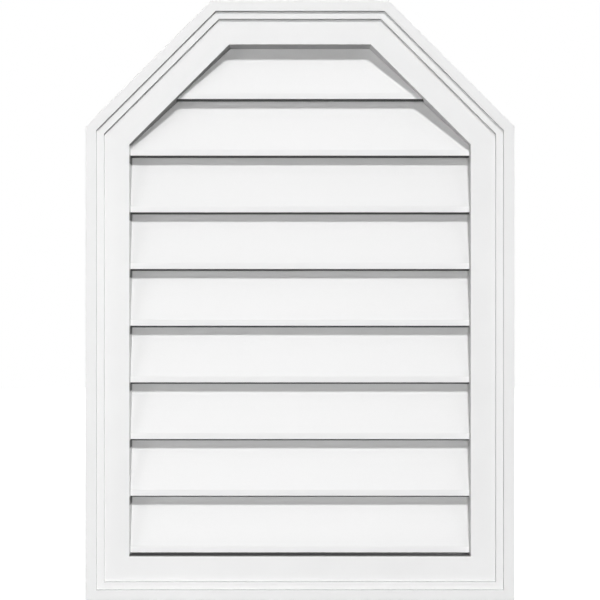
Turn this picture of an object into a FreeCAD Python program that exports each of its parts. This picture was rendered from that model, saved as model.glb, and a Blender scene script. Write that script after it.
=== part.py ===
# Louvred gable vent with an octagonal top: six mitred lengths of stepped moulding,
# louvre slats let into them, and an insect screen stapled into a rebate at the back.
# Millimetres. X runs across the front, Z is up, and the wall plane is Y = 0 with the
# front towards -Y. The origin is the centre of the louvred opening on the wall plane.
import FreeCAD, Part
import math
import os
import Sketcher

doc = FreeCAD.newDocument("gable_vent")

# Driving sizes
sizes = {
    "overall_width": 508.0,
    "overall_height": 711.2,
    "corner_cut": 148.8,
    "frame_width": 50.8,
    "projection": 38.1,
    "outer_band": 12.7,
    "middle_band": 8.7,
    "step_depth": 3.2,
    "arris_radius": 0.8,
    "slat_pitch": 68.0,
    "slat_tilt": 12.0,
    "slat_thickness": 6.35,
    "slat_lap": 5.0,
    "sill_gap": 2.6,
    "nose_height": 7.0,
    "nose_setback": 8.5,
    "nose_undercut": 2.2,
    "housing_depth": 6.0,
    "cement_gap": 0.15,
    "screen_lap": 14.0,
    "screen_rebate": 1.2,
    "screen_thickness": 0.5,
    "screen_clearance": 0.4,
    "screen_cell": 50.0,
    "screen_strand": 1.6,
    "staple_crown": 10.0,
    "staple_wire": 0.5,
    "staple_breadth": 1.2,
    "staple_leg": 5.0,
    "staple_spacing": 120.0,
    "saw_margin": 5.0,
}

sheet = doc.addObject("Spreadsheet::Sheet", "Sizes")
for row, (alias, number) in enumerate(sizes.items(), start=1):
    sheet.set("A%d" % row, alias)
    sheet.set("B%d" % row, str(number))
    sheet.setAlias("B%d" % row, alias)
doc.recompute()

# A 45 degree corner of the outline is mitred at 22.5 degrees
half_turn = math.tan(math.radians(22.5))
root_two = math.sqrt(2.0)


# A length is a sum of named sizes, each with a factor
def total(length):
    return sum(factor * sizes[alias] for alias, factor in length.items())


def formula(length):
    return " + ".join("%.9f * Sizes.%s" % (factor, alias) for alias, factor in length.items())


def plus(first, second, factor=1.0):
    result = dict(first)
    for alias, amount in second.items():
        result[alias] = result.get(alias, 0.0) + factor * amount
    return result


def times(length, factor):
    return {alias: factor * amount for alias, amount in length.items()}


def bind(item, path, length):
    item.setExpression(path, formula(length))


# Sketches
def add_sketch(body, name, role):
    sketch = body.newObject("Sketcher::SketchObject", name)
    plane = [item for item in body.Origin.OriginFeatures if item.Role == role][0]
    sketch.AttachmentSupport = [(plane, "")]
    sketch.MapMode = "FlatFace"
    return sketch


def add_dimension(sketch, kind, where, length):
    if not length:
        axis = -1 if kind == "DistanceY" else -2
        sketch.addConstraint(Sketcher.Constraint("PointOnObject", where[0], where[1], axis))
        return
    index = sketch.addConstraint(Sketcher.Constraint(kind, -1, 1, where[0], where[1], total(length)))
    bind(sketch, "Constraints[%d]" % index, length)


def add_lines(sketch, spots):
    first = sketch.GeometryCount
    for index, spot in enumerate(spots):
        following = spots[(index + 1) % len(spots)]
        line = Part.LineSegment(FreeCAD.Vector(spot[0], spot[1], 0), FreeCAD.Vector(following[0], following[1], 0))
        sketch.addGeometry(line, False)
    for index in range(len(spots)):
        following = (index + 1) % len(spots)
        joint = Sketcher.Constraint("Coincident", first + index, 2, first + following, 1)
        sketch.addConstraint(joint)
    return first


def add_polygon(sketch, corners):
    first = add_lines(sketch, [(total(across), total(along)) for across, along in corners])
    for index, (across, along) in enumerate(corners):
        add_dimension(sketch, "DistanceX", (first + index, 1), across)
        add_dimension(sketch, "DistanceY", (first + index, 1), along)


# The outline of the vent, drawn inside its outer edge by an inset
def outline(inset):
    side = plus({"overall_width": 0.5}, inset, -1.0)
    level = plus({"overall_height": 0.5}, inset, -1.0)
    shoulder = plus(plus({"overall_height": 0.5}, {"corner_cut": -1.0}), inset, 1.0 - root_two)
    corner = plus(plus({"overall_width": 0.5}, {"corner_cut": -1.0}), inset, 1.0 - root_two)
    foot = times(level, -1.0)
    return [
        (times(side, -1.0), foot),
        (side, foot),
        (side, shoulder),
        (corner, level),
        (times(corner, -1.0), level),
        (times(side, -1.0), shoulder),
    ]


def add_pad(body, name, sketch, length, symmetric):
    pad = body.newObject("PartDesign::Pad", name)
    pad.Profile = sketch
    bind(pad, "Length", length)
    if symmetric:
        pad.SideType = "Symmetric"
    return pad


def add_body(name):
    return doc.addObject("PartDesign::Body", name)


# Frame moulding: the face steps down twice from the outer edge to the opening, and the
# back has a rebate for the screen. The section is drawn as (depth, distance from the outer edge).
main_flat = {"projection": -1.0, "step_depth": 2.0}
middle_flat = {"projection": -1.0, "step_depth": 1.0}
outer_flat = {"projection": -1.0}
second_step = {"outer_band": 1.0, "middle_band": 1.0}
rebate_edge = {"frame_width": 1.0, "screen_lap": -1.0}
moulding = [
    ({}, {}),
    (outer_flat, {}),
    (outer_flat, {"outer_band": 1.0}),
    (middle_flat, {"outer_band": 1.0}),
    (middle_flat, second_step),
    (main_flat, second_step),
    (main_flat, {"frame_width": 1.0}),
    ({"screen_rebate": -1.0}, {"frame_width": 1.0}),
    ({"screen_rebate": -1.0}, rebate_edge),
    ({}, rebate_edge),
]
eased = [moulding[1], moulding[2], moulding[4], moulding[6]]


def eased_edges(shape):
    names = []
    for index, edge in enumerate(shape.Edges, start=1):
        start = edge.Vertexes[0].Point
        end = edge.Vertexes[-1].Point
        for depth, across in eased:
            offsets = [max(abs(spot.y - total(depth)), abs(spot.z - total(across))) for spot in (start, end)]
            if max(offsets) < 1e-6:
                names.append("Edge%d" % index)
    return names


# Both ends of a length are sawn to a mitre in one sketch seen from the front
def saw_cut(length, slope, side):
    tip = plus(times(length, 0.5), {"saw_margin": slope})
    root = plus(times(length, 0.5), {"frame_width": -slope, "saw_margin": -slope})
    low = {"saw_margin": -1.0}
    high = {"frame_width": 1.0, "saw_margin": 1.0}
    return [(times(tip, side), low), (times(root, side), high), (times(tip, side), high)]


def add_moulding(name, length, start_slope, end_slope):
    body = add_body(name + "_length")
    profile = add_sketch(body, name + "_section", "YZ_Plane")
    add_polygon(profile, moulding)
    run = add_pad(body, name + "_run", profile, length, True)
    doc.recompute()
    easing = body.newObject("PartDesign::Fillet", name + "_arrises")
    easing.Base = (run, eased_edges(run.Shape))
    bind(easing, "Radius", {"arris_radius": 1.0})
    mitres = add_sketch(body, name + "_mitre_lines", "XZ_Plane")
    add_polygon(mitres, saw_cut(length, start_slope, -1.0))
    add_polygon(mitres, saw_cut(length, end_slope, 1.0))
    cut = body.newObject("PartDesign::Pocket", name + "_mitres")
    cut.Profile = mitres
    cut.Type = "ThroughAll"
    cut.SideType = "Symmetric"
    return body


# Each length has its outer edge along its own X axis and its width along its own Z axis.
# The middle of the outer edge, the turn about Y and the two mitres set it into the outline.
half_width = {"overall_width": 0.5}
half_height = {"overall_height": 0.5}
stile_middle = {"corner_cut": -0.5}
corner_across = {"overall_width": 0.5, "corner_cut": -0.5}
corner_up = {"overall_height": 0.5, "corner_cut": -0.5}
stile_length = {"overall_height": 1.0, "corner_cut": -1.0}
corner_length = {"corner_cut": root_two}
top_length = {"overall_width": 1.0, "corner_cut": -2.0}
members = {
    "bottom_rail": ({"overall_width": 1.0}, 1.0, 1.0, {}, times(half_height, -1.0), 0.0),
    "right_stile": (stile_length, 1.0, half_turn, half_width, stile_middle, -90.0),
    "right_corner_rail": (corner_length, half_turn, half_turn, corner_across, corner_up, -135.0),
    "top_rail": (top_length, half_turn, half_turn, {}, half_height, 180.0),
    "left_corner_rail": (corner_length, half_turn, half_turn, times(corner_across, -1.0), corner_up, 135.0),
    "left_stile": (stile_length, half_turn, 1.0, times(half_width, -1.0), stile_middle, 90.0),
}


def place(item, across, depth, up, turn):
    item.Placement = FreeCAD.Placement(
        FreeCAD.Vector(total(across), total(depth), total(up)),
        FreeCAD.Rotation(FreeCAD.Vector(0, 1, 0), turn),
    )
    for axis, length in (("x", across), ("y", depth), ("z", up)):
        if length:
            bind(item, "Placement.Base." + axis, length)


lengths = {}
for name, (length, start_slope, end_slope, across, up, turn) in members.items():
    lengths[name] = add_moulding(name, length, start_slope, end_slope)
    place(lengths[name], across, {}, up, turn)


# Louvre slats: a sloping blade with a plumb nose. Grown by the cement gap, the same
# section cuts the housing that the slat's ends are let into.
def add_slat_section(sketch, gap):
    tilt = math.radians(sizes["slat_tilt"])
    nose = plus({"projection": -1.0, "step_depth": 2.0, "nose_setback": 1.0}, gap, -1.0)
    foot = times(gap, -1.0)
    nose_top = plus({"nose_height": 1.0}, gap, math.tan(tilt / 2.0))
    head = plus({"slat_pitch": 1.0, "slat_lap": 1.0}, gap)
    heel = plus({"nose_undercut": -1.0}, gap, -1.0)
    thick = plus({"slat_thickness": 1.0}, gap, 2.0)
    depth = total(thick) / math.cos(tilt)

    def face(level):
        return total(nose) + (level - total(nose_top)) * math.tan(tilt)

    spots = [
        (total(nose), total(foot)),
        (total(nose), total(nose_top)),
        (face(total(head)), total(head)),
        (face(total(head)) + depth, total(head)),
        (face(total(heel)) + depth, total(heel)),
    ]
    add_lines(sketch, spots)
    sketch.addConstraint(Sketcher.Constraint("Vertical", 0))
    sketch.addConstraint(Sketcher.Constraint("Horizontal", 2))
    sketch.addConstraint(Sketcher.Constraint("Parallel", 1, 3))
    add_dimension(sketch, "DistanceX", (0, 1), nose)
    for line, level in ((0, foot), (1, nose_top), (2, head), (4, heel)):
        add_dimension(sketch, "DistanceY", (line, 1), level)
    slope = sketch.addConstraint(Sketcher.Constraint("Angle", 1, math.pi / 2.0 - tilt))
    sketch.setExpression("Constraints[%d]" % slope, "90 deg - Sizes.slat_tilt * 1 deg")
    width = sketch.addConstraint(Sketcher.Constraint("Distance", 3, 1, 1, total(thick)))
    bind(sketch, "Constraints[%d]" % width, thick)


# What lies within the outline at an inset, through the whole depth of the frame
def add_core(name, inset):
    body = add_body(name)
    sketch = add_sketch(body, name + "_outline", "XZ_Plane")
    add_polygon(sketch, outline(inset))
    add_pad(body, name + "_depth", sketch, {"projection": 1.0}, False)
    return body


def add_slat(name, step, gap, core):
    blade = add_body(name + "_blade")
    section = add_sketch(blade, name + "_section", "YZ_Plane")
    add_slat_section(section, gap)
    add_pad(blade, name + "_run", section, {"overall_width": 1.0}, True)
    up = {"overall_height": -0.5, "frame_width": 1.0, "sill_gap": 1.0, "slat_pitch": float(step)}
    place(blade, {}, {}, up, 0.0)
    slat = doc.addObject("Part::Common", name)
    slat.Base = blade
    slat.Tool = core
    slat.Label = name
    return slat


housing_inset = {"frame_width": 1.0, "housing_depth": -1.0}
housing_core = add_core("housing_core", housing_inset)
slat_core = add_core("slat_core", plus(housing_inset, {"cement_gap": 1.0}))
opening_height = sizes["overall_height"] - 2.0 * sizes["frame_width"]
nose_room = opening_height - sizes["sill_gap"] - sizes["nose_height"]
slat_count = int(nose_room / sizes["slat_pitch"]) + 1
slats = []
housings = []
for step in range(slat_count):
    slats.append(add_slat("louvre_slat_%d" % (step + 1), step, {}, slat_core))
    housings.append(add_slat("slat_housing_%d" % (step + 1), step, {"cement_gap": 1.0}, housing_core))


# Staples: the crown lies on the screen's margin and the legs are driven into the moulding
crown_end = {"staple_crown": 0.5}
crown_inside = {"staple_crown": 0.5, "staple_wire": -1.0}
under_crown = {"staple_wire": -1.0}
leg_end = {"staple_leg": -1.0}
staple = add_body("staple")
staple_shape = add_sketch(staple, "staple_shape", "XY_Plane")
add_polygon(staple_shape, [
    (times(crown_end, -1.0), {}),
    (times(crown_end, -1.0), leg_end),
    (times(crown_inside, -1.0), leg_end),
    (times(crown_inside, -1.0), under_crown),
    (crown_inside, under_crown),
    (crown_inside, leg_end),
    (crown_end, leg_end),
    (crown_end, {}),
])
add_pad(staple, "staple_wire_run", staple_shape, {"staple_breadth": 1.0}, True)

crown_back = {"screen_rebate": -1.0, "screen_thickness": 1.0, "staple_wire": 1.0}
staple_line = {"frame_width": 1.0, "housing_depth": -0.5, "screen_lap": -0.5}
staples = []
for name, (length, start_slope, end_slope, across, up, turn) in members.items():
    inner_run = total(length) - (start_slope + end_slope) * sizes["frame_width"]
    count = max(2, round(inner_run / sizes["staple_spacing"]))
    cosine = math.cos(math.radians(turn))
    sine = math.sin(math.radians(turn))
    for number in range(count):
        share = (number + 0.5) / count
        start = plus(times(length, -0.5), {"frame_width": start_slope})
        end = plus(times(length, 0.5), {"frame_width": -end_slope})
        along = plus(times(start, 1.0 - share), times(end, share))
        copy = doc.addObject("App::Link", "%s_staple_%d" % (name, number + 1))
        copy.LinkedObject = staple
        copy_across = plus(plus(across, along, cosine), staple_line, sine)
        copy_up = plus(plus(up, along, -sine), staple_line, cosine)
        place(copy, copy_across, crown_back, copy_up, turn)
        staples.append(copy)
screen_staples = doc.addObject("Part::Compound", "screen_staples")
screen_staples.Links = staples
screen_staples.Label = "screen_staples"


# Each length of the frame loses the slat housings and the staple holes that reach it
sinkings = doc.addObject("Part::Compound", "sinkings")
sinkings.Links = housings + [screen_staples]
frame = []
for name, body in lengths.items():
    piece = doc.addObject("Part::Cut", name)
    piece.Base = body
    piece.Tool = sinkings
    piece.Label = name
    frame.append(piece)


# Insect screen: one thin wall of crossing strands inside a closed margin
mesh = add_body("screen_mesh")
screen_inset = {"frame_width": 1.0, "screen_lap": -1.0, "screen_clearance": 1.0}
margin_inset = {"frame_width": 1.0, "screen_clearance": 1.0}
sheet_sketch = add_sketch(mesh, "screen_outline", "XZ_Plane")
add_polygon(sheet_sketch, outline(screen_inset))
add_pad(mesh, "screen_sheet", sheet_sketch, {"screen_thickness": 1.0}, False)
cell_half = {"screen_cell": 0.5, "screen_strand": -0.5}
opening_width = sizes["overall_width"] - 2.0 * sizes["frame_width"]
columns = int(opening_width / sizes["screen_cell"]) + 1
rows = int(opening_height / sizes["screen_cell"]) + 1
first_across = {"screen_cell": -0.5 * (columns - 1)}
first_up = {"screen_cell": -0.5 * (rows - 1)}
left = plus(first_across, cell_half, -1.0)
right = plus(first_across, cell_half)
low = plus(first_up, cell_half, -1.0)
high = plus(first_up, cell_half)
gap_sketch = add_sketch(mesh, "screen_gap", "XZ_Plane")
add_polygon(gap_sketch, [(left, low), (right, low), (right, high), (left, high)])
gap = mesh.newObject("PartDesign::Pocket", "screen_gaps")
gap.Profile = gap_sketch
gap.Type = "ThroughAll"
gap.SideType = "Symmetric"
doc.recompute()
grid = mesh.newObject("PartDesign::MultiTransform", "screen_grid")
grid.Originals = [gap]
patterns = []
for name, axis, count in (("screen_columns", "H_Axis", columns), ("screen_rows", "V_Axis", rows)):
    pattern = mesh.newObject("PartDesign::LinearPattern", name)
    pattern.Direction = (gap_sketch, [axis])
    bind(pattern, "Length", {"screen_cell": float(count - 1)})
    pattern.Occurrences = count
    patterns.append(pattern)
grid.Transformations = patterns
mesh.Tip = grid
doc.recompute()
margin_sketch = add_sketch(mesh, "screen_margin_outline", "XZ_Plane")
add_polygon(margin_sketch, outline(screen_inset))
add_polygon(margin_sketch, outline(margin_inset))
add_pad(mesh, "screen_margin", margin_sketch, {"screen_thickness": 1.0}, False)
place(mesh, {}, {"screen_rebate": -1.0, "screen_thickness": 1.0}, {}, 0.0)
insect_screen = doc.addObject("Part::Cut", "insect_screen")
insect_screen.Base = mesh
insect_screen.Tool = screen_staples
insect_screen.Label = "insect_screen"

doc.recompute()

# Every object has to be sound before a file is written
for item in doc.Objects:
    if "Invalid" in item.State or "Error" in item.State:
        raise RuntimeError("%s did not build: %s" % (item.Name, item.State))
pieces = frame + slats + [insect_screen, screen_staples]
for piece in pieces:
    if piece.Shape.isNull() or not piece.Shape.isValid() or not piece.Shape.Solids:
        raise RuntimeError("%s has no sound solid" % piece.Label)

os.makedirs("parts", exist_ok=True)
for piece in pieces:
    piece.Shape.exportStep("parts/%s.step" % piece.Label)
    print(piece.Label, len(piece.Shape.Solids), "solid(s), %.1f cm3" % (piece.Shape.Volume / 1000.0))
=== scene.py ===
import bpy
import math
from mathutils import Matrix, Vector


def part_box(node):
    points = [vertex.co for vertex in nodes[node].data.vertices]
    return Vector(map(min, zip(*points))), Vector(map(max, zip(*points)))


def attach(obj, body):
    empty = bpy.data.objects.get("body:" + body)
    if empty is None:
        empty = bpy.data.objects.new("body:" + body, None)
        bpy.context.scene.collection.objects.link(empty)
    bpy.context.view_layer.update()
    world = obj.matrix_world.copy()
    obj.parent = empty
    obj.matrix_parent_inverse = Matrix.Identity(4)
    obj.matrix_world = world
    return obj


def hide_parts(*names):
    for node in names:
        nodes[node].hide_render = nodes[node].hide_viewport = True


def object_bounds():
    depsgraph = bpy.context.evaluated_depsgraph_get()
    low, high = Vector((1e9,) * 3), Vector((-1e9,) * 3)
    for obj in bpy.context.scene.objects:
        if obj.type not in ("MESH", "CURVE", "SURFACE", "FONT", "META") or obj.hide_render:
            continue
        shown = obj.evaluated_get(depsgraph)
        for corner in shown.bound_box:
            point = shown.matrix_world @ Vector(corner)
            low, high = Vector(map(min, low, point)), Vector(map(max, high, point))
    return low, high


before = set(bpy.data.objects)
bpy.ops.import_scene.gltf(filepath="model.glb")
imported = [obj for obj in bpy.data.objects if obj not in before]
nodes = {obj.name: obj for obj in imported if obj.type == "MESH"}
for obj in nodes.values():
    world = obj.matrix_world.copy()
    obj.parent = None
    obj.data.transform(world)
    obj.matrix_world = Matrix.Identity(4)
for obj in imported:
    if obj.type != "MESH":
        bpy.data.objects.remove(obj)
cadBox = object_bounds()  # the box of the solids, before anything is dressed
print("frame loaded:", len(nodes), "pieces")

mm = 0.001


def hexColour(text):
    channels = [int(text[i:i + 2], 16) / 255 for i in (1, 3, 5)]
    linear = [c / 12.92 if c <= 0.04045 else ((c + 0.055) / 1.055) ** 2.4 for c in channels]
    return (*linear, 1.0)


# An input is a value, a hex colour or the output that is linked to it
def addNode(tree, kind, inputs=None, **settings):
    node = tree.nodes.new(kind)
    for key, value in settings.items():
        setattr(node, key, value)
    for socket, value in (inputs or {}).items():
        if isinstance(value, bpy.types.NodeSocket):
            tree.links.new(value, node.inputs[socket])
        else:
            node.inputs[socket].default_value = hexColour(value) if isinstance(value, str) else value
    return node


def newMaterial(name):
    material = bpy.data.materials.new(name)
    material.use_nodes = True
    tree = material.node_tree
    tree.nodes.clear()
    return material, tree


# Frame and slats

# A span has two ends: where a change starts, and where it is complete
pvc = {
    "cloudSize": 90 * mm,       # slow drift of tone
    "lineSpacing": 1.6 * mm,    # draw lines left by the die
    "lineLength": 260 * mm,
    "lineDepth": 0.02 * mm,
    "grainSize": 0.7 * mm,      # skin over the closed cells
    "grainDepth": 0.012 * mm,
    "noiseSpan": (0.3, 0.7),    # nearly all of a noise lies in it
    # faces that look down get painted shade
    "underSpan": (-0.4, -0.7),  # upward part of the direction of faces that look down
    "skin": ("#f5f5f5", "#f8f8f8"),
    "ior": 1.53,
}

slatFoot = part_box("louvre_slat_1")[0][2]
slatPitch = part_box("louvre_slat_2")[0][2] - slatFoot

# Painted shade: some faces are drawn greyer than the skin, because the lamps alone leave them too
# bright: a little on the steps and the opening's walls, more on most faces that look down, and
# most in two crevices, on the sill behind the lowest nose and in the left corner under each slat.
# The left pieces are drawn darker than the right ones, painted shade and light for the two sides
moulding = {
    "roughness": (0.50, 0.62),
    "wallFront": -31.5 * mm,               # where the opening's walls begin, from the wall plane
    "wallFade": 7.0 * mm,                  # how far in from there they reach their own shade
    "cornerFade": 3.0 * mm,                # the same for the corners
    "cornerHeight": 10.0 * mm,
    "cornerSoftness": 1.0 * mm,            # half of their soft edge
    "cornerDrop": 3.2 * mm,                # their middle, below the lowest edge of a slat
    "inwardSpan": (-50 * mm, -150 * mm),   # how far out a face lies, along the way it looks
}
plainShadeTones = {"steps": "#c8c8c8", "walls": "#c8c8c8", "under": "#aaaaaa", "corners": "#c8c8c8"}
leftShadeTones = {"steps": "#e0e0e0", "walls": "#d8d8d8", "under": "#7c7c7c", "corners": "#646464"}
slopeShadeTones = {"steps": "#e0e0e0", "walls": "#d8d8d8", "under": "#7c7c7c", "corners": "#d8d8d8"}
rightShadeTones = {"steps": "#cccccc", "walls": "#d0d0d0", "under": "#d8d8d8", "corners": "#d0d0d0"}
sillShadeTones = {"steps": "#b4b4b4", "walls": "#3e3e3e", "under": "#aaaaaa", "corners": "#3e3e3e"}

# Painted shade on the slats: the plumb nose has the skin's colour, and the sloping face is drawn
# greyer, most towards the frame and under the lip of the slat above, by an ambient occlusion node.
# The two highest slats have more of the frame close round them, so their faces are painted paler,
# painted light to end up as bright as the others
slat = {
    "roughness": (0.60, 0.70),
    "face": ("#e4e4e4", "#f2f2f2"),      # close to something, and in the open
    "nextFace": ("#e8e8e8", "#f5f5f5"),  # of the second highest slat
    "topFace": ("#ededed", "#f7f7f7"),   # of the highest
    "faceSpan": (0.05, 0.15),            # upward part of the direction, from the nose to the face
    # painted shade: the faces under the noses, which look down, are drawn dark
    "under": "#3c3c3c",
    "shadeReach": 90 * mm,
    "shadeSpan": (0.70, 0.99),           # share of open space round a spot, greyest to not grey
    "shadeSamples": 8,
}


# In a mix of colours, 6 and 7 are the two colours and 2 is what comes out
def skinColour(tree, place):
    clouds = {"Vector": place, "Scale": 1 / pvc["cloudSize"], "Detail": 2.0}
    cloud = addNode(tree, "ShaderNodeTexNoise", clouds)
    low, high = pvc["noiseSpan"]
    span = {"Value": cloud.outputs["Fac"], "From Min": low, "From Max": high}
    drift = addNode(tree, "ShaderNodeMapRange", span)
    shades = {0: drift.outputs[0], 6: pvc["skin"][0], 7: pvc["skin"][1]}
    return addNode(tree, "ShaderNodeMix", shades, data_type="RGBA").outputs[2]


# Painted shade: faces that look down are turned from their colour into the darker under tone
def underShadeColour(tree, upward, colour, under):
    start, full = pvc["underSpan"]
    isUnder = addNode(tree, "ShaderNodeMapRange", {"Value": upward, "From Min": start, "From Max": full})
    whole = {0: isUnder.outputs[0], 6: colour, 7: under}
    return addNode(tree, "ShaderNodeMix", whole, data_type="RGBA").outputs[2]


def frameColour(tree, place, facing, tones):
    spot = addNode(tree, "ShaderNodeSeparateXYZ", {"Vector": place}).outputs
    turned = addNode(tree, "ShaderNodeSeparateXYZ", {"Vector": facing}).outputs
    # painted shade: the opening's walls turn greyer from their front edge inwards
    front = moulding["wallFront"]
    wallSpan = {"Value": spot["Y"], "From Min": front, "From Max": front + moulding["wallFade"]}
    deep = addNode(tree, "ShaderNodeMapRange", wallSpan)
    depths = {0: deep.outputs[0], 6: tones["steps"], 7: tones["walls"]}
    walls = addNode(tree, "ShaderNodeMix", depths, data_type="RGBA")
    # painted shadow in the corner under each slat: the corners repeat up the frame with the slats
    middle = {0: spot["Z"], 1: slatFoot - moulding["cornerDrop"]}
    shifted = addNode(tree, "ShaderNodeMath", middle, operation="SUBTRACT")
    away = addNode(tree, "ShaderNodeMath", {0: shifted.outputs[0], 1: slatPitch / 2}, operation="PINGPONG")
    edge = moulding["cornerHeight"] / 2
    soft = moulding["cornerSoftness"]
    cornerSpan = {"Value": away.outputs[0], "From Min": edge + soft, "From Max": edge - soft}
    near = addNode(tree, "ShaderNodeMapRange", cornerSpan)
    insideSpan = {"Value": spot["Y"], "From Min": front, "From Max": front + moulding["cornerFade"]}
    inside = addNode(tree, "ShaderNodeMapRange", insideSpan)
    both = {0: near.outputs[0], 1: inside.outputs[0]}
    cornerShadow = addNode(tree, "ShaderNodeMath", both, operation="MULTIPLY")
    crevices = {0: cornerShadow.outputs[0], 6: walls.outputs[2], 7: tones["corners"]}
    inner = addNode(tree, "ShaderNodeMix", crevices, data_type="RGBA")
    # painted shade on the steps and walls, which look inwards, to the middle of the opening
    inward = addNode(tree, "ShaderNodeVectorMath", {0: facing, 1: place}, operation="DOT_PRODUCT")
    start, full = moulding["inwardSpan"]
    inwardSpan = {"Value": inward.outputs["Value"], "From Min": start, "From Max": full}
    isInner = addNode(tree, "ShaderNodeMapRange", inwardSpan)
    sides = {0: isInner.outputs[0], 6: skinColour(tree, place), 7: inner.outputs[2]}
    walled = addNode(tree, "ShaderNodeMix", sides, data_type="RGBA")
    return underShadeColour(tree, turned["Z"], walled.outputs[2], tones["under"])


# Painted shade on a slat: an ambient occlusion node greys the sloping face where something is close
def slatColour(tree, place, facing, tones):
    turned = addNode(tree, "ShaderNodeSeparateXYZ", {"Vector": facing}).outputs
    reach = {"Distance": slat["shadeReach"]}
    space = addNode(tree, "ShaderNodeAmbientOcclusion", reach, samples=slat["shadeSamples"])
    greyest, clear = slat["shadeSpan"]
    openSpan = {"Value": space.outputs["AO"], "From Min": greyest, "From Max": clear}
    isOpen = addNode(tree, "ShaderNodeMapRange", openSpan)
    shades = {0: isOpen.outputs[0], 6: tones[0], 7: tones[1]}
    face = addNode(tree, "ShaderNodeMix", shades, data_type="RGBA")
    start, full = slat["faceSpan"]
    isFace = addNode(tree, "ShaderNodeMapRange", {"Value": turned["Z"], "From Min": start, "From Max": full})
    sides = {0: isFace.outputs[0], 6: skinColour(tree, place), 7: face.outputs[2]}
    faced = addNode(tree, "ShaderNodeMix", sides, data_type="RGBA")
    return underShadeColour(tree, turned["Z"], faced.outputs[2], slat["under"])


# Cellular PVC with a smooth skin: near white, satin, with faint draw lines along the length and
# a very fine grain that only breaks up the gloss. The colour, painted shade included, comes from colourOf
def makePvc(name, turn, roughness, colourOf):
    material, tree = newMaterial(name)
    coords = addNode(tree, "ShaderNodeTexCoord")
    place, facing = coords.outputs["Object"], coords.outputs["Normal"]
    along = addNode(tree, "ShaderNodeMapping", {
        "Vector": place,
        "Rotation": (0, math.radians(turn), 0),
        "Scale": (1 / pvc["lineLength"], 1 / pvc["lineSpacing"], 1 / pvc["lineSpacing"]),
    })
    draws = {"Vector": along.outputs[0], "Scale": 1.0, "Detail": 2.0}
    lines = addNode(tree, "ShaderNodeTexNoise", draws)
    cells = {"Vector": place, "Scale": 1 / pvc["grainSize"], "Detail": 3.0}
    grain = addNode(tree, "ShaderNodeTexNoise", cells)
    low, high = pvc["noiseSpan"]
    gloss = addNode(tree, "ShaderNodeMapRange", {
        "Value": lines.outputs["Fac"], "From Min": low, "From Max": high,
        "To Min": roughness[0], "To Max": roughness[1],
    })
    grains = {"Height": grain.outputs["Fac"], "Distance": pvc["grainDepth"]}
    grainBump = addNode(tree, "ShaderNodeBump", grains)
    lineBump = addNode(tree, "ShaderNodeBump", {
        "Height": lines.outputs["Fac"], "Distance": pvc["lineDepth"], "Normal": grainBump.outputs["Normal"],
    })
    shader = addNode(tree, "ShaderNodeBsdfPrincipled", {
        "Base Color": colourOf(tree, place, facing), "IOR": pvc["ior"],
        "Roughness": gloss.outputs["Result"], "Normal": lineBump.outputs["Normal"],
    })
    addNode(tree, "ShaderNodeOutputMaterial", {"Surface": shader.outputs[0]})
    return material


def makeMoulding(name, turn, tones):
    return makePvc(name, turn, moulding["roughness"], lambda *spots: frameColour(*spots, tones))


def makeSlat(name, tones):
    return makePvc(name, 0, slat["roughness"], lambda *spots: slatColour(*spots, tones))


# Copies of one material carry painted shade: the left pieces darker than the right, the two highest slats
# paler than the others
finishes = {
    "top_rail": makeMoulding("cellularPvcExtrudedTop", 0, plainShadeTones),
    "bottom_rail": makeMoulding("cellularPvcExtrudedSill", 0, sillShadeTones),
    "left_stile": makeMoulding("cellularPvcExtrudedLeft", 90, leftShadeTones),
    "right_stile": makeMoulding("cellularPvcExtrudedRight", 90, rightShadeTones),
    "left_corner_rail": makeMoulding("cellularPvcExtrudedLeftSlope", -45, slopeShadeTones),
    "right_corner_rail": makeMoulding("cellularPvcExtrudedRightSlope", 45, rightShadeTones),
    "louvre_slat_8": makeSlat("cellularPvcSawnSheetNext", slat["nextFace"]),
    "louvre_slat_9": makeSlat("cellularPvcSawnSheetTop", slat["topFace"]),
}
slatPvc = makeSlat("cellularPvcSawnSheet", slat["face"])
for name, node in nodes.items():
    if name.startswith("louvre_slat"):
        finishes.setdefault(name, slatPvc)
    if name in finishes:
        node.data.materials.clear()
        node.data.materials.append(finishes[name])
print("frame and slats finished")


# Insect screen

screen = {
    "pitch": 3.2 * mm,        # twice the real spacing, so that it shows
    "wire": 0.26 * mm,
    "wireSides": 3,           # enough for so thin a wire
    "depth": -0.95 * mm,      # middle of the weave, from the wall plane
    "edgeInset": 37.2 * mm,   # from the vent's outer edge
    "cornerCut": 148.8 * mm,  # what each slanting corner takes off the vent's sides and top
    "colour": "#9a9d9f",
    "dullColour": "#85888a",
    "cloudSize": 35 * mm,     # slow drift of tone
    "cloudSpan": (0.35, 0.65),
    "roughness": 0.42,
}

halfWidth = cadBox[1][0]
halfHeight = cadBox[1][2]
screenSide = halfWidth - screen["edgeInset"]
screenTop = halfHeight - screen["edgeInset"]
screenSlant = halfWidth + halfHeight - screen["cornerCut"] - math.sqrt(2) * screen["edgeInset"]


def topAt(x):
    return min(screenTop, screenSlant - abs(x))


def sideAt(z):
    return min(screenSide, screenSlant - z)


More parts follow.
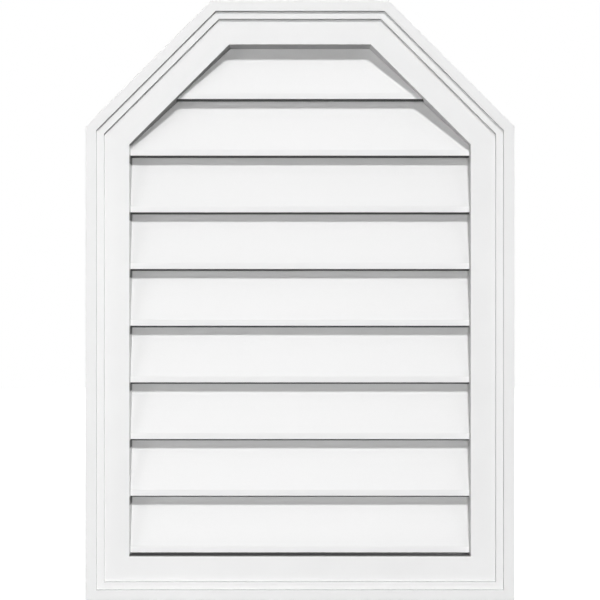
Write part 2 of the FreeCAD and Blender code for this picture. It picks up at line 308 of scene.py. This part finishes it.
# A wire runs over one crossing wire and under the next, so it bends at every crossing
def weaveWires(name, spots, limits, upright):
    verts, faces = [], []
    radius = screen["wire"] / 2
    sides = screen["wireSides"]
    for index, spot in enumerate(spots):
        low, high = limits(spot)
        first = math.ceil(low / screen["pitch"])
        last = math.floor(high / screen["pitch"])
        stations = [(low, 0.0)]
        for step in range(first, last + 1):
            side = 1 if (step + index) % 2 else -1
            stations.append((step * screen["pitch"], side * radius * (1 if upright else -1)))
        stations.append((high, 0.0))
        start = len(verts)
        for along, lift in stations:
            for corner in range(sides):
                angle = 2 * math.pi * corner / sides
                across = spot + radius * math.cos(angle)
                depth = screen["depth"] + lift + radius * math.sin(angle)
                verts.append((across, depth, along) if upright else (along, depth, across))
        for ring in range(len(stations) - 1):
            for corner in range(sides):
                a = start + ring * sides + corner
                b = start + ring * sides + (corner + 1) % sides
                faces.append((a, b, b + sides, a + sides) if upright else (b, a, a + sides, b + sides))
        firstEnd = list(range(start, start + sides))
        lastEnd = list(range(len(verts) - sides, len(verts)))
        faces.append(firstEnd[::-1] if upright else firstEnd)
        faces.append(lastEnd if upright else lastEnd[::-1])
    mesh = bpy.data.meshes.new(name)
    mesh.from_pydata(verts, [], faces)
    wires = bpy.data.objects.new(name, mesh)
    bpy.context.scene.collection.objects.link(wires)
    return wires


# Drawn aluminium wire, left bare: dull grey with a soft sheen and slow changes of tone
def makeWireMaterial():
    material, tree = newMaterial("aluminiumWireDrawn")
    place = addNode(tree, "ShaderNodeTexCoord").outputs["Object"]
    clouds = {"Vector": place, "Scale": 1 / screen["cloudSize"], "Detail": 4.0}
    cloud = addNode(tree, "ShaderNodeTexNoise", clouds)
    tone = addNode(tree, "ShaderNodeValToRGB", {"Fac": cloud.outputs["Fac"]})
    for end, position, key in zip(tone.color_ramp.elements, screen["cloudSpan"], ("dullColour", "colour")):
        end.position = position
        end.color = hexColour(screen[key])
    shader = addNode(tree, "ShaderNodeBsdfPrincipled", {
        "Base Color": tone.outputs["Color"], "Metallic": 1.0, "Roughness": screen["roughness"],
    })
    addNode(tree, "ShaderNodeOutputMaterial", {"Surface": shader.outputs[0]})
    return material


columns = int(screenSide / screen["pitch"])
rows = int(screenTop / screen["pitch"])
uprightSpots = [n * screen["pitch"] for n in range(-columns, columns + 1)]
levelSpots = [n * screen["pitch"] for n in range(-rows, rows + 1)]
wireMaterial = makeWireMaterial()
warp = weaveWires("screenUprightWires", uprightSpots, lambda x: (-screenTop, topAt(x)), True)
weft = weaveWires("screenLevelWires", levelSpots, lambda z: (-sideAt(z), sideAt(z)), False)
for wires in (warp, weft):
    wires.data.materials.append(wireMaterial)
    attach(wires, "root")
    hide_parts("insect_screen")
print("screen woven:", len(uprightSpots), "by", len(levelSpots), "wires")


# Staples

staple = {"colour": "#b4b6b8", "shadeColour": "#989b9e", "spangle": 2.5 * mm, "roughness": 0.36}


# Hot-dip galvanised steel wire: bright grey with a faint spangle
def makeStapleMaterial():
    material, tree = newMaterial("galvanisedSteelWire")
    place = addNode(tree, "ShaderNodeTexCoord").outputs["Object"]
    spangle = addNode(tree, "ShaderNodeTexVoronoi", {"Vector": place, "Scale": 1 / staple["spangle"]})
    tone = addNode(tree, "ShaderNodeValToRGB", {"Fac": spangle.outputs["Distance"]})
    tone.color_ramp.elements[0].color = hexColour(staple["shadeColour"])
    tone.color_ramp.elements[1].color = hexColour(staple["colour"])
    shader = addNode(tree, "ShaderNodeBsdfPrincipled", {
        "Base Color": tone.outputs["Color"], "Metallic": 1.0, "Roughness": staple["roughness"],
    })
    addNode(tree, "ShaderNodeOutputMaterial", {"Surface": shader.outputs[0]})
    return material


staples = nodes["screen_staples"]
staples.data.materials.clear()
staples.data.materials.append(makeStapleMaterial())
print("staples finished")


# Floor, light and camera

# 1 for what the camera sees, also in a reflection or through glass, and 0 for what only lights
def isSeen(tree):
    path = addNode(tree, "ShaderNodeLightPath").outputs
    rays = {0: path["Is Camera Ray"], 1: path["Is Glossy Ray"]}
    seen = addNode(tree, "ShaderNodeMath", rays, operation="MAXIMUM")
    rays = {0: seen.outputs[0], 1: path["Is Transmission Ray"]}
    return addNode(tree, "ShaderNodeMath", rays, operation="MAXIMUM").outputs[0]


floor = {
    "colour": "#484848",
    "grit": 4 * mm,
    "gritDepth": 0.05 * mm,
    "roughness": 0.8,
    "radius": 3.0,
    "rimSides": 96,
    "drop": 0.5 * mm,     # below the vent
    "glow": (0.95, 1.0),  # in the middle, and at the rim
    "fade": (0.55, 1.1),  # from the middle, where one glow turns into the other
}


# Matte painted board with a faint grit: grey paint, so that little light comes back up from
# it. What looks at it, the camera or a reflection, sees it glow pale, and white at its rim,
# so that it runs into the white behind while the shadow stays
def makeFloorMaterial():
    material, tree = newMaterial("paintedBoardMatte")
    place = addNode(tree, "ShaderNodeTexCoord").outputs["Object"]
    grits = {"Vector": place, "Scale": 1 / floor["grit"], "Detail": 3.0}
    grit = addNode(tree, "ShaderNodeTexNoise", grits)
    bump = addNode(tree, "ShaderNodeBump", {"Height": grit.outputs["Fac"], "Distance": floor["gritDepth"]})
    reach = addNode(tree, "ShaderNodeVectorMath", {0: place}, operation="LENGTH")
    glow = addNode(tree, "ShaderNodeMapRange", {
        "Value": reach.outputs["Value"], "From Min": floor["fade"][0], "From Max": floor["fade"][1],
        "To Min": floor["glow"][0], "To Max": floor["glow"][1],
    })
    seenGlow = {0: isSeen(tree), 1: glow.outputs["Result"]}
    strength = addNode(tree, "ShaderNodeMath", seenGlow, operation="MULTIPLY")
    shader = addNode(tree, "ShaderNodeBsdfPrincipled", {
        "Base Color": floor["colour"], "Roughness": floor["roughness"], "Normal": bump.outputs["Normal"],
        "Emission Color": "#ffffff", "Emission Strength": strength.outputs[0],
    })
    addNode(tree, "ShaderNodeOutputMaterial", {"Surface": shader.outputs[0]})
    return material


bpy.ops.mesh.primitive_circle_add(vertices=floor["rimSides"], radius=floor["radius"], fill_type="NGON")
floorDisc = bpy.context.object
floorDisc.name = "floorDisc"
floorDisc.location.z = cadBox[0][2] - floor["drop"]
floorDisc.data.materials.append(makeFloorMaterial())

# Where a lamp stands and what it looks at are in metres. The left and right lamps stand behind
# the wall plane, so they light the outer sides and the back and leave the front alone
origin = (0.0, 0.0, 0.0)
lamps = {
    "key": {"at": (0.25, -1.215, 1.284), "aim": (-0.12, -1.15, 0.0), "size": 0.28, "power": 9.15},
    "fill": {"at": (-1.50, -1.22, 0.25), "aim": origin, "size": 0.06, "power": 3.4},
    "front": {"at": (0.12, -2.4, 0.0), "aim": origin, "size": 1.0, "power": 3.0},
    "back": {"at": (0.9, 2.0, -0.15), "aim": origin, "size": 0.6, "power": 4.8},
    "left": {"at": (-2.0, 0.75, 0.1), "aim": origin, "size": 0.6, "power": 2.0},
    "right": {"at": (2.0, 0.75, 0.1), "aim": origin, "size": 0.6, "power": 2.0},
}

for name, settings in lamps.items():
    light = bpy.data.lights.new(name + "Lamp", "AREA")
    light.shape = "DISK"
    light.size = settings["size"]
    light.energy = settings["power"]
    if name != "fill":  # the others are as even over the height as lamps far off
        light.use_nodes = True
        tree = light.node_tree
        even = addNode(tree, "ShaderNodeLightFalloff", {"Strength": 1.0})
        tree.links.new(even.outputs["Constant"], tree.nodes["Emission"].inputs["Strength"])
    lamp = bpy.data.objects.new(name + "Lamp", light)
    lamp.location = settings["at"]
    aim = Vector(settings["aim"]) - lamp.location
    lamp.rotation_euler = aim.to_track_quat("-Z", "Y").to_euler()
    bpy.context.scene.collection.objects.link(lamp)

# The sky gives no light from below and a little from above. A height is the upward part of a
# direction
sky = {"light": (0.0, 0.08), "heights": (-0.3, 0.5)}

world = bpy.data.worlds.new("studioWorld")
bpy.context.scene.world = world
world.use_nodes = True
tree = world.node_tree
tree.nodes.clear()
direction = addNode(tree, "ShaderNodeTexCoord").outputs["Generated"]
height = addNode(tree, "ShaderNodeSeparateXYZ", {"Vector": direction})
soft = addNode(tree, "ShaderNodeMapRange", {
    "Value": height.outputs["Z"], "From Min": sky["heights"][0], "From Max": sky["heights"][1],
    "To Min": sky["light"][0], "To Max": sky["light"][1],
})
level = addNode(tree, "ShaderNodeMath", {0: isSeen(tree), 1: soft.outputs["Result"]}, operation="MAXIMUM")
background = addNode(tree, "ShaderNodeBackground", {"Color": "#ffffff", "Strength": level.outputs[0]})
addNode(tree, "ShaderNodeOutputWorld", {"Surface": background.outputs[0]})

# Straight in front: the distance is from the face of the frame
view = {"distance": 1.1848, "height": 0.6 * mm, "lens": 60.0, "sensor": 36.0}

cameraData = bpy.data.cameras.new("camera")
cameraData.lens = view["lens"]
cameraData.sensor_width = view["sensor"]
camera = bpy.data.objects.new("camera", cameraData)
camera.location = (0, cadBox[0][1] - view["distance"], view["height"])
camera.rotation_euler = (math.radians(90), 0, 0)
bpy.context.scene.collection.objects.link(camera)
bpy.context.scene.camera = camera
bpy.context.scene.view_settings.view_transform = "Standard"
print("light and camera set")
